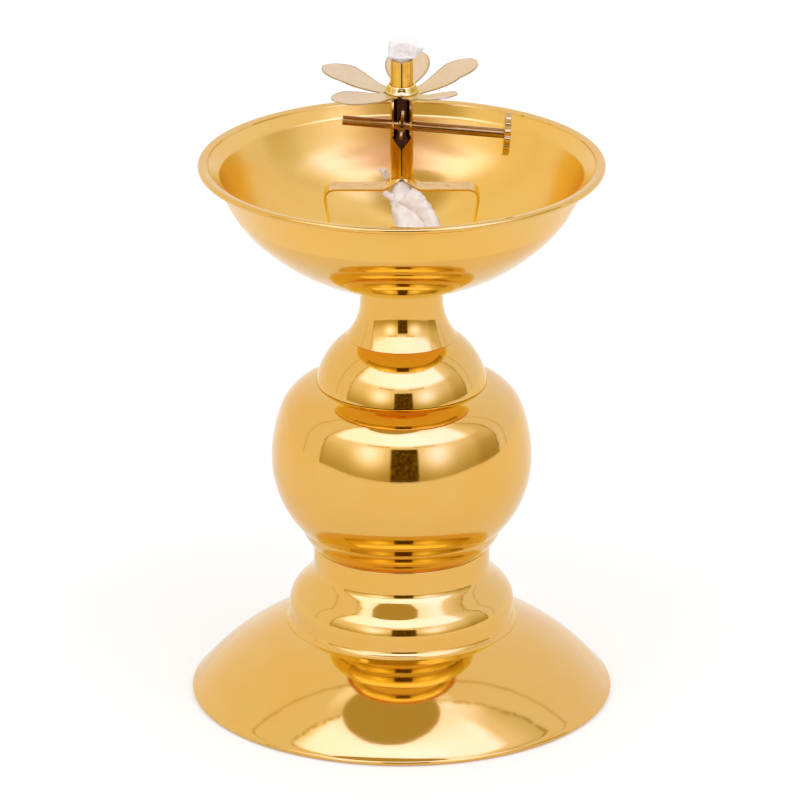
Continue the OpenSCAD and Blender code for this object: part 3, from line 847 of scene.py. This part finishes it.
def smooth_path(points, per=5):
    """The route as a close line: a Catmull-Rom curve through its points."""
    pts = [Vector(p) for p in points]
    pts = [2 * pts[0] - pts[1]] + pts + [2 * pts[-1] - pts[-2]]
    line = []
    for p0, p1, p2, p3 in zip(pts, pts[1:], pts[2:], pts[3:]):
        for k in range(per):
            t = k / per
            line.append(0.5 * ((2 * p1) + (p2 - p0) * t + (2 * p0 - 5 * p1 + 4 * p2 - p3) * t * t
                               + (3 * p1 - p0 - 3 * p2 + p3) * t ** 3))
    line.append(pts[-2])
    return line


def strand(bm, line, section, sides=28, up=lambda s: Vector((0, 0, 1))):
    """A closed tube along a line. section(s, angle) gives (across, over), and over faces up(s)."""
    rings = []
    count = len(line)
    for i, p in enumerate(line):
        along = (line[min(i + 1, count - 1)] - line[max(i - 1, 0)]).normalized()
        share = i / (count - 1)
        across = along.cross(up(share))
        across = across.normalized() if across.length > 0.1 else Vector((1, 0, 0))
        over = across.cross(along).normalized()
        ring = []
        for k in range(sides):
            w, h = section(share, 2 * math.pi * k / sides)
            ring.append(bm.verts.new(p + across * w + over * h))
        rings.append(ring)
    join_rings(bm, rings)
    bm.faces.new(rings[0][::-1])
    bm.faces.new(rings[-1])


def keep_in_bowl(bm, clear=0.25):
    """Moves what would poke through the bowl's wall back to its inner face."""
    centre, most = Vector((0, 0, BOWL_Z)), BOWL_SPHERE_R - WALL - clear
    for vert in bm.verts:
        away = vert.co - centre
        if vert.co.z < 125 and away.length > most:
            vert.co = centre + away * (most / away.length)


def rough_up(bm, amount, scale, seed):
    """Pushes a mesh in and out along its normals, as matted cotton is uneven."""
    bmesh.ops.recalc_face_normals(bm, faces=bm.faces)
    bm.normal_update()
    for vert in bm.verts:
        n = noise.fractal(vert.co * scale + Vector((seed, 0, 0)), 0.9, 2.1, 4)
        vert.co += vert.normal * amount * n


def add_fibres(bm, seeds, rng, length, radius=0.035):
    """Short curled fibres that stand out of the cotton, each a thin three-sided tube."""
    for place, normal in seeds:
        side = normal.orthogonal().normalized()
        side.rotate(Matrix.Rotation(rng.uniform(0, 6.28), 3, normal))
        reach = length * rng.uniform(0.5, 1.3)
        curl = rng.uniform(0.5, 1.4)
        rings = []
        for i in range(5):
            s = i / 4
            rise = normal * math.sin(s * curl * 1.6) / curl * 0.45
            centre = place + (rise + side * s) * reach - normal * 0.08
            thin = radius * (1 - 0.7 * s)
            across = side.cross(normal)
            rings.append([bm.verts.new(centre + (across * math.cos(a) + normal * math.sin(a)) * thin)
                          for a in circle_angles(3)])
        join_rings(bm, rings)
        bm.faces.new(rings[0][::-1])
        bm.faces.new(rings[-1])


def fibre_seeds(bm, count, rng, keep):
    verts = [v for v in bm.verts if keep(v.co)]
    return [(v.co.copy(), v.normal.copy()) for v in rng.sample(verts, min(count, len(verts)))]


def make_tail(material):
    """The wick's loose end: a flattened, creased strand that falls into the bowl and curls round."""
    rng = random.Random(11)
    line = smooth_path(TAIL_MM)

    def section(s, a):
        wide = 2.15 + 1.6 * min(1.0, s / 0.2) - 1.1 * max(0.0, s - 0.45) / 0.55
        thick = 2.2 - 0.1 * s
        crease = 0.38 * math.exp(-(math.cos(a) / 0.3) ** 2) * min(1.0, s / 0.08)
        twist = 0.14 * math.sin(3 * a + s * 26)
        end = math.sqrt(max(0.02, min(1.0, (1 - s) / 0.03)))
        return math.cos(a) * (wide + twist) * end, math.sin(a) * (thick - crease + twist) * end

    def up(s):
        turn = min(1.0, max(0.0, (s - 0.12) / 0.2))
        return Vector((0.25, -0.9, 0.35)).lerp(Vector((0, 0, 1)), turn)
    bm = bmesh.new()
    strand(bm, line, section, 36, up)
    rough_up(bm, 0.22, 0.55, 3)
    rough_up(bm, 0.08, 2.4, 8)
    bm.normal_update()
    add_fibres(bm, fibre_seeds(bm, 260, rng, lambda p: p.z < 126), rng, 0.55)
    keep_in_bowl(bm)
    tail = finish_mesh("wick_tail_cotton", bm, "stand", [material], sharp=70)
    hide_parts("wick_tail")
    return tail


WICK_MOUTH = TUBE_TOP + 0.35
WICK_SIDES = 44


def spread_row(z):
    """Points round the wick above the tube, where it swells, leans to the right and is cut at a slant."""
    rise = (z - WICK_MOUTH) / (WICK_TOP - WICK_MOUTH)
    r = 2.0 + (1.15 + 0.35 * rise) * min(1.0, rise / 0.12)
    row = []
    for a in circle_angles(WICK_SIDES):
        box = 1 / max(abs(math.cos(a)), abs(math.sin(a))) ** 0.35
        x = math.cos(a) * r * box * (1.08 + 0.12 * rise) + 1.25 * rise
        y = math.sin(a) * r * box * 0.86
        row.append((x, y, z - 0.9 * max(0.0, x - 1.2) * rise * 0.55))
    return row


def tube_wick_row(z):
    """Points round the wick in the tube, where the wheel has pressed it thin and back."""
    thin = min(1.0, max(0.0, (z - 135.5) / 3.5)) * min(1.0, max(0.0, (149.6 - z) / 2.0))
    r = 2.05 - 0.95 * thin
    row = []
    for a in circle_angles(WICK_SIDES):
        x, y = r * math.cos(a), r * math.sin(a) + 0.95 * thin
        if z < 149 and abs(x) < 1.0:
            y = max(y, 0.9)
        row.append((x, y, z))
    return row


def close_tip(bm, last):
    """Rings that shrink to the middle of the tip and rise a little, and the face that ends them."""
    middle = sum((v.co for v in last), Vector()) / len(last)
    rings = [last]
    for share in (0.8, 0.55, 0.3, 0.1):
        crown = Vector((0, 0, 0.22 * (1 - share)))
        rings.append([bm.verts.new(middle.lerp(v.co, share) + crown) for v in last])
    join_rings(bm, rings)
    bm.faces.new(rings[-1])


def make_wick(material, painted_shade):
    """The wick in the tube, pressed by the wheel, its part in the tube coloured dark brown as painted
    shade, with a clean, spread tip.
    """
    rng = random.Random(5)
    levels = [128.4 + 1.1 * k for k in range(27)]
    levels += [WICK_MOUTH - 0.6, WICK_MOUTH - 0.1] + [WICK_MOUTH + 0.3 + 0.25 * k for k in range(20)]
    rings = []
    bm = bmesh.new()
    for z in levels:
        if z < WICK_TOP - 0.1:
            row = spread_row(z) if z > WICK_MOUTH else tube_wick_row(z)
            rings.append([bm.verts.new(point) for point in row])
    join_rings(bm, rings)
    bm.faces.new(rings[0][::-1])
    close_tip(bm, rings[-1])
    bmesh.ops.recalc_face_normals(bm, faces=bm.faces)
    bm.normal_update()
    for vert in bm.verts:
        if vert.co.z > WICK_MOUTH:
            grow = min(1.0, (vert.co.z - WICK_MOUTH) / 0.8)
            n = noise.fractal(vert.co * 0.55 + Vector((20, 3, 1)), 0.9, 2.1, 4)
            vert.co += vert.normal * 0.28 * n * grow
            vert.co.z = min(vert.co.z, WICK_TOP - 0.15)
    bm.normal_update()
    seeds = fibre_seeds(bm, 150, rng, lambda p: WICK_MOUTH + 0.8 < p.z < WICK_TOP - 0.9)
    add_fibres(bm, seeds, rng, 0.9)
    for vert in bm.verts:
        vert.co.z = min(vert.co.z, WICK_TOP - 0.02)
    # painted shade: the faces inside the tube take the dark brown cotton, which stands in for the shade in
    # the tube
    for face in bm.faces:
        if face.calc_center_median().z < WICK_MOUTH - 0.9:
            face.material_index = 1
    return finish_mesh("wick_cotton_core", bm, "wick", [material, painted_shade], sharp=70)


def make_tuft(name, points, size, seed, material):
    """A short loose tuft of the wick's cotton, tapering to its end."""
    rng = random.Random(seed)
    line = smooth_path(points, 6)

    def section(s, a):
        here = (size - 0.3 * size * s) * math.sqrt(max(0.03, min(1.0, (1 - s) / 0.2)))
        ridge = 0.16 * size * math.sin(2 * a + s * 7)
        return math.cos(a) * (here * 1.2 + ridge), math.sin(a) * (here * 0.8 + ridge)
    bm = bmesh.new()
    strand(bm, line, section, 24, lambda s: Vector((0, -1, 0.2)))
    rough_up(bm, 0.26, 0.9, seed)
    bm.normal_update()
    add_fibres(bm, fibre_seeds(bm, int(40 * size), rng, lambda p: True), rng, 0.8)
    keep_in_bowl(bm)
    return finish_mesh(name, bm, "stand", [material], sharp=70)


def make_tufts(material):
    """Loose cotton at the tube's foot: a tuft behind, a flap in front, and a lobe on the knob's side."""
    behind = [(-2.0, 3.3, 126.9), (-3.0, 3.6, 127.5), (-4.1, 3.7, 128.4), (-5.2, 3.6, 129.4)]
    flap = [(-0.6, -1.8, 123.4), (-2.0, -2.1, 124.2), (-3.3, -2.4, 125.0), (-4.5, -2.7, 125.6)]
    lobe = [(1.1, -2.6, 125.3), (2.2, -2.9, 124.2), (3.8, -3.2, 122.6), (5.5, -3.6, 120.9),
            (7.3, -4.6, 118.4), (8.7, -6.2, 115.4), (9.4, -8.8, 112.6)]
    return [make_tuft("wick_wisp", behind, 0.8, 5, material),
            make_tuft("wick_flap", flap, 0.95, 4, material),
            make_tuft("wick_lobe", lobe, 2.1, 9, material)]


# ---------------------------------------------------------------- stage and light
# Brightness through the tent's open front, by azimuth in degrees from -Y towards +X:
# ceiling lights above, and the room below them.
OPEN_AZIMUTH = 109
LIGHTS = [(-107, 0.75), (-95, 0.85), (-75, 1.15), (-66, 1.95), (0, 2.1), (66, 2.0),
          (75, 1.15), (95, 0.85), (109, 0.75)]
ROOM = [(-107, 0.9), (-85, 0.85), (-60, 0.9), (0, 0.8), (55, 0.9), (66, 0.85), (80, 0.65), (109, 0.75)]
# Soft light patches in the room: azimuth and elevation, spread in degrees, brightness.
PATCHES = [((-30, 15), (10, 8), 1.05), ((33, 14), (10, 8), 0.95)]
RAMP_TOP = 2.5
# Gains on red, green and blue that make what the brass has mirrored twice yellower, for its look.
TWICE_MIRRORED = (1.02, 1.16, 0.45)
TABLE_TWICE_MIRRORED = (1.1, 1.9, 0.0, 1)


def ramp(nodes, azimuth, stops):
    """A smooth line through (azimuth, level) stops. Levels are kept under 1 in the ramp itself."""
    share = nodes.scaled(azimuth, 0.5 / OPEN_AZIMUTH, 0.5)
    node = nodes.add("ShaderNodeValToRGB", Fac=share)
    node.color_ramp.interpolation = "EASE"
    elements = node.color_ramp.elements
    while len(elements) < len(stops):
        elements.new(0.5)
    for element, (where, level) in zip(elements, stops):
        element.position = 0.5 + 0.5 * where / OPEN_AZIMUTH
        element.color = (level / RAMP_TOP, level / RAMP_TOP, level / RAMP_TOP, 1)
    return nodes.times(node.outputs[0], RAMP_TOP)


def blob(nodes, azimuth, elevation, centre, spread):
    """A soft round patch of light: 1 at its centre, falling off by the spread in degrees each way."""
    a = nodes.math("DIVIDE", nodes.math("SUBTRACT", azimuth, centre[0]), spread[0])
    e = nodes.math("DIVIDE", nodes.math("SUBTRACT", elevation, centre[1]), spread[1])
    square = nodes.plus(nodes.times(a, a), nodes.times(e, e))
    return nodes.math("EXPONENT", nodes.times(square, -0.5))


def room_light(nodes, way, azimuth, elevation):
    """The room in front: dim walls with two patches, rails, a dark camera, and ceiling lights above."""
    room = nodes.times(ramp(nodes, azimuth, ROOM), nodes.step(elevation, -6, 26, 0.55, 1.25))
    for centre, spread, level in PATCHES:
        patch = nodes.times(blob(nodes, azimuth, elevation, centre, spread), level)
        room = nodes.plus(room, patch)
    wide = nodes.math("ABSOLUTE", azimuth)
    rail = nodes.times(nodes.band(wide, 11, 34, 1), nodes.band(elevation, 27.6, 30, 0.5))
    room = nodes.times(room, nodes.scaled(rail, -0.72, 1.0))
    clutter = nodes.noise(way, 22, 3.0, 0.6)
    camera = nodes.times(nodes.band(azimuth, -10, 15, 1), nodes.band(elevation, -7, 23.5, 0.8))
    room = nodes.blend(camera, room, nodes.scaled(nodes.step(clutter, 0.4, 0.75), 0.16, 0.03))
    lights = nodes.blend(nodes.step(elevation, 55, 72), ramp(nodes, azimuth, LIGHTS), 1.65)
    return nodes.blend(nodes.step(elevation, 26, 34), room, lights)


def in_tent(nodes, way, room):
    """The white tent round the room's light: its inner laced seam, its outer seam and the hole on top."""
    x, y, z = nodes.axes(way)
    crumple = nodes.scaled(nodes.noise(way, 7, 3.0, 0.6), 0.06, -0.03)
    limp_y = nodes.plus(y, crumple)
    outer = nodes.math("SUBTRACT", limp_y, nodes.scaled(x, 0.1, 0.22))
    laced = nodes.math("SUBTRACT", limp_y, nodes.scaled(x, 0.18, -0.05))
    level = nodes.blend(nodes.step(laced, -0.01, 0.01), room, 1.0)
    level = nodes.times(level, nodes.scaled(nodes.band(outer, -0.012, 0.012, 0.006), -0.3, 1.0))
    stitches = nodes.step(nodes.noise(way, 40, 1.0), 0.3, 0.62)
    lace = nodes.times(nodes.band(laced, -0.022, 0.012, 0.006), stitches)
    level = nodes.times(level, nodes.scaled(lace, -0.5, 1.0))
    over_x, over_y = nodes.plus(x, 0.065), nodes.plus(y, 0.17)
    hole = nodes.math("SQRT", nodes.plus(nodes.times(over_x, over_x), nodes.times(over_y, over_y)))
    above = nodes.math("GREATER_THAN", z, 0.0)
    rim = nodes.times(nodes.band(hole, 0.32, 0.4, 0.03), nodes.times(above, 0.35))
    level = nodes.times(level, nodes.scaled(nodes.step(y, -0.1, 0.1), rim, 1.0))
    return nodes.blend(nodes.times(nodes.step(hole, 0.315, 0.305), above), level, 0.47)


def mirrored_twice(nodes, path):
    """1 where the light reaches metal that is itself seen in metal."""
    return nodes.math("GREATER_THAN", path.outputs["Glossy Depth"], 1.5)


def mirrored_colour(nodes, level, x, path):
    """What metal mirrors: bright light paler, dim light redder, and yellower where mirrored twice."""
    side = nodes.step(x, -0.6, 0.9)
    red = nodes.times(nodes.math("POWER", level, 0.8), nodes.scaled(side, -0.05, 0.99))
    blue = nodes.times(nodes.math("POWER", level, 2.2), nodes.scaled(side, 0.25, 1.0))
    twice = mirrored_twice(nodes, path)
    tones = [nodes.times(tone, nodes.scaled(twice, gain - 1, 1.0))
             for tone, gain in zip((red, level, blue), TWICE_MIRRORED)]
    return nodes.vector(*tones)


def make_world():
    """A lit surround that stays in place: a white tent, open in front. The camera sees plain white."""
    world = bpy.data.worlds.new("tent")
    world.use_nodes = True
    bpy.context.scene.world = world
    nodes = Nodes(world.node_tree)
    way = nodes.add("ShaderNodeTexCoord").outputs["Generated"]
    x, y, z = nodes.axes(way)
    azimuth = nodes.times(nodes.math("ARCTAN2", x, nodes.times(y, -1)), 180 / math.pi)
    elevation = nodes.times(nodes.math("ARCSINE", z), 180 / math.pi)
    level = in_tent(nodes, way, room_light(nodes, way, azimuth, elevation))
    path = nodes.add("ShaderNodeLightPath")
    mirrored = mirrored_colour(nodes, level, x, path)
    shiny = nodes.mix(path.outputs["Is Glossy Ray"], nodes.vector(level, level, level), mirrored)
    colour = nodes.mix(path.outputs["Is Camera Ray"], shiny, (1, 1, 1, 1))
    back = nodes.add("ShaderNodeBackground", Color=colour, Strength=1.0)
    nodes.add("ShaderNodeOutputWorld", Surface=back.outputs[0])


def make_floor():
    """A white table that glows a little and ends in front of the lamp, where the room shows past it."""
    material, nodes, shader = new_material("white_table")
    place = nodes.object_place()
    tone = nodes.noise(place, 3, 2.0, 0.5)
    nodes.put(shader, "Base Color", nodes.mix(tone, (0.7, 0.7, 0.7, 1), (0.73, 0.73, 0.73, 1)))
    nodes.put(shader, "Roughness", 0.9)
    nodes.put(shader, "Specular IOR Level", 0.1)
    path = nodes.add("ShaderNodeLightPath")
    glow = nodes.mix(mirrored_twice(nodes, path), (1, 1, 1, 1), TABLE_TWICE_MIRRORED)
    nodes.put(shader, "Emission Color", glow)
    nodes.put(shader, "Emission Strength", nodes.scaled(path.outputs["Is Camera Ray"], 0.08, 0.17))
    bm = bmesh.new()
    corners = [(-1.5, -0.75), (1.5, -0.75), (1.5, 1.5), (-1.5, 1.5)]
    bm.faces.new([bm.verts.new((x, y, -0.0001)) for x, y in corners])
    floor = mesh_object("floor", bm)
    floor.data.materials.append(material)


def give(node, material):
    """A carried-over CAD node takes a better material."""
    slots = frame["nodes"][node].data.materials
    slots.clear()
    slots.append(material)


def main():
    make_camera()
    wick = cotton("wick_cotton", (0.95, 0.92, 0.91), (0.84, 0.78, 0.77))
    # painted shade: a dark brown cotton for the wick inside the tube, in place of the shade there
    painted_shade = cotton("wick_cotton_painted_shade", (0.32, 0.14, 0.055), (0.19, 0.075, 0.028))
    make_tail(wick)
    gold = (0.80, 0.47, 0.12)
    polished = spun_brass("brass_polished", gold, 0.07, 0.8)
    satin = spun_brass("brass_satin", (0.87, 0.52, 0.125), 0.2, 0.9, satin=0.6)
    sheet = sheet_brass("brass_sheet", (0.80, 0.45, 0.11), 0.16, "Z")
    rod = sheet_brass("brass_rod", (0.42, 0.21, 0.055), 0.17, "X")
    eyelet = spun_brass("brass_eyelet", (0.85, 0.6, 0.24), 0.16, 0.5)
    knurl = spun_brass("brass_knob", (0.66, 0.40, 0.13), 0.18, 0.5)
    steel = plated_steel()
    petal = petal_metal()
    make_world()
    make_floor()
    shells = {
        "base_skirt": skirt_outline, "base_drum": drum_outline, "bead_ring": bead_outline,
        "ball_body": ball_outline, "shoulder_dome": dome_outline, "neck": neck_outline,
    }
    for node, outline in shells.items():
        piece = spun(node + "_spun", outline(), "root", polished)
        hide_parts(node)
    made = [
        (make_bowl(polished, satin), "bowl", "polished_brass"),
        (make_stand(sheet), "wick_stand", "bright_brass_sheet"),
        (make_spindle(rod), "spindle", "bright_brass_sheet"),
        (make_wheel(rod), "wick_wheel", "bright_brass_sheet"),
        (make_knob(knurl), "spindle_knob", "bright_brass_sheet"),
        (make_petals(petal), "petal_rosette", "satin_brass_sheet"),
        (make_collar(eyelet), "flower_collar", "bright_brass_sheet"),
        (make_wick(wick, painted_shade), "wick", "wick_cotton"),
    ]
    for piece, node, slot in made:
        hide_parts(node)
    for tuft in make_tufts(wick):
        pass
    for node in ("tie_rod", "clamp_washer", "spring_washer", "base_nut"):
        give(node, steel)
    give("bowl_boss", polished)
    bpy.context.scene.view_settings.view_transform = "Standard"


main()
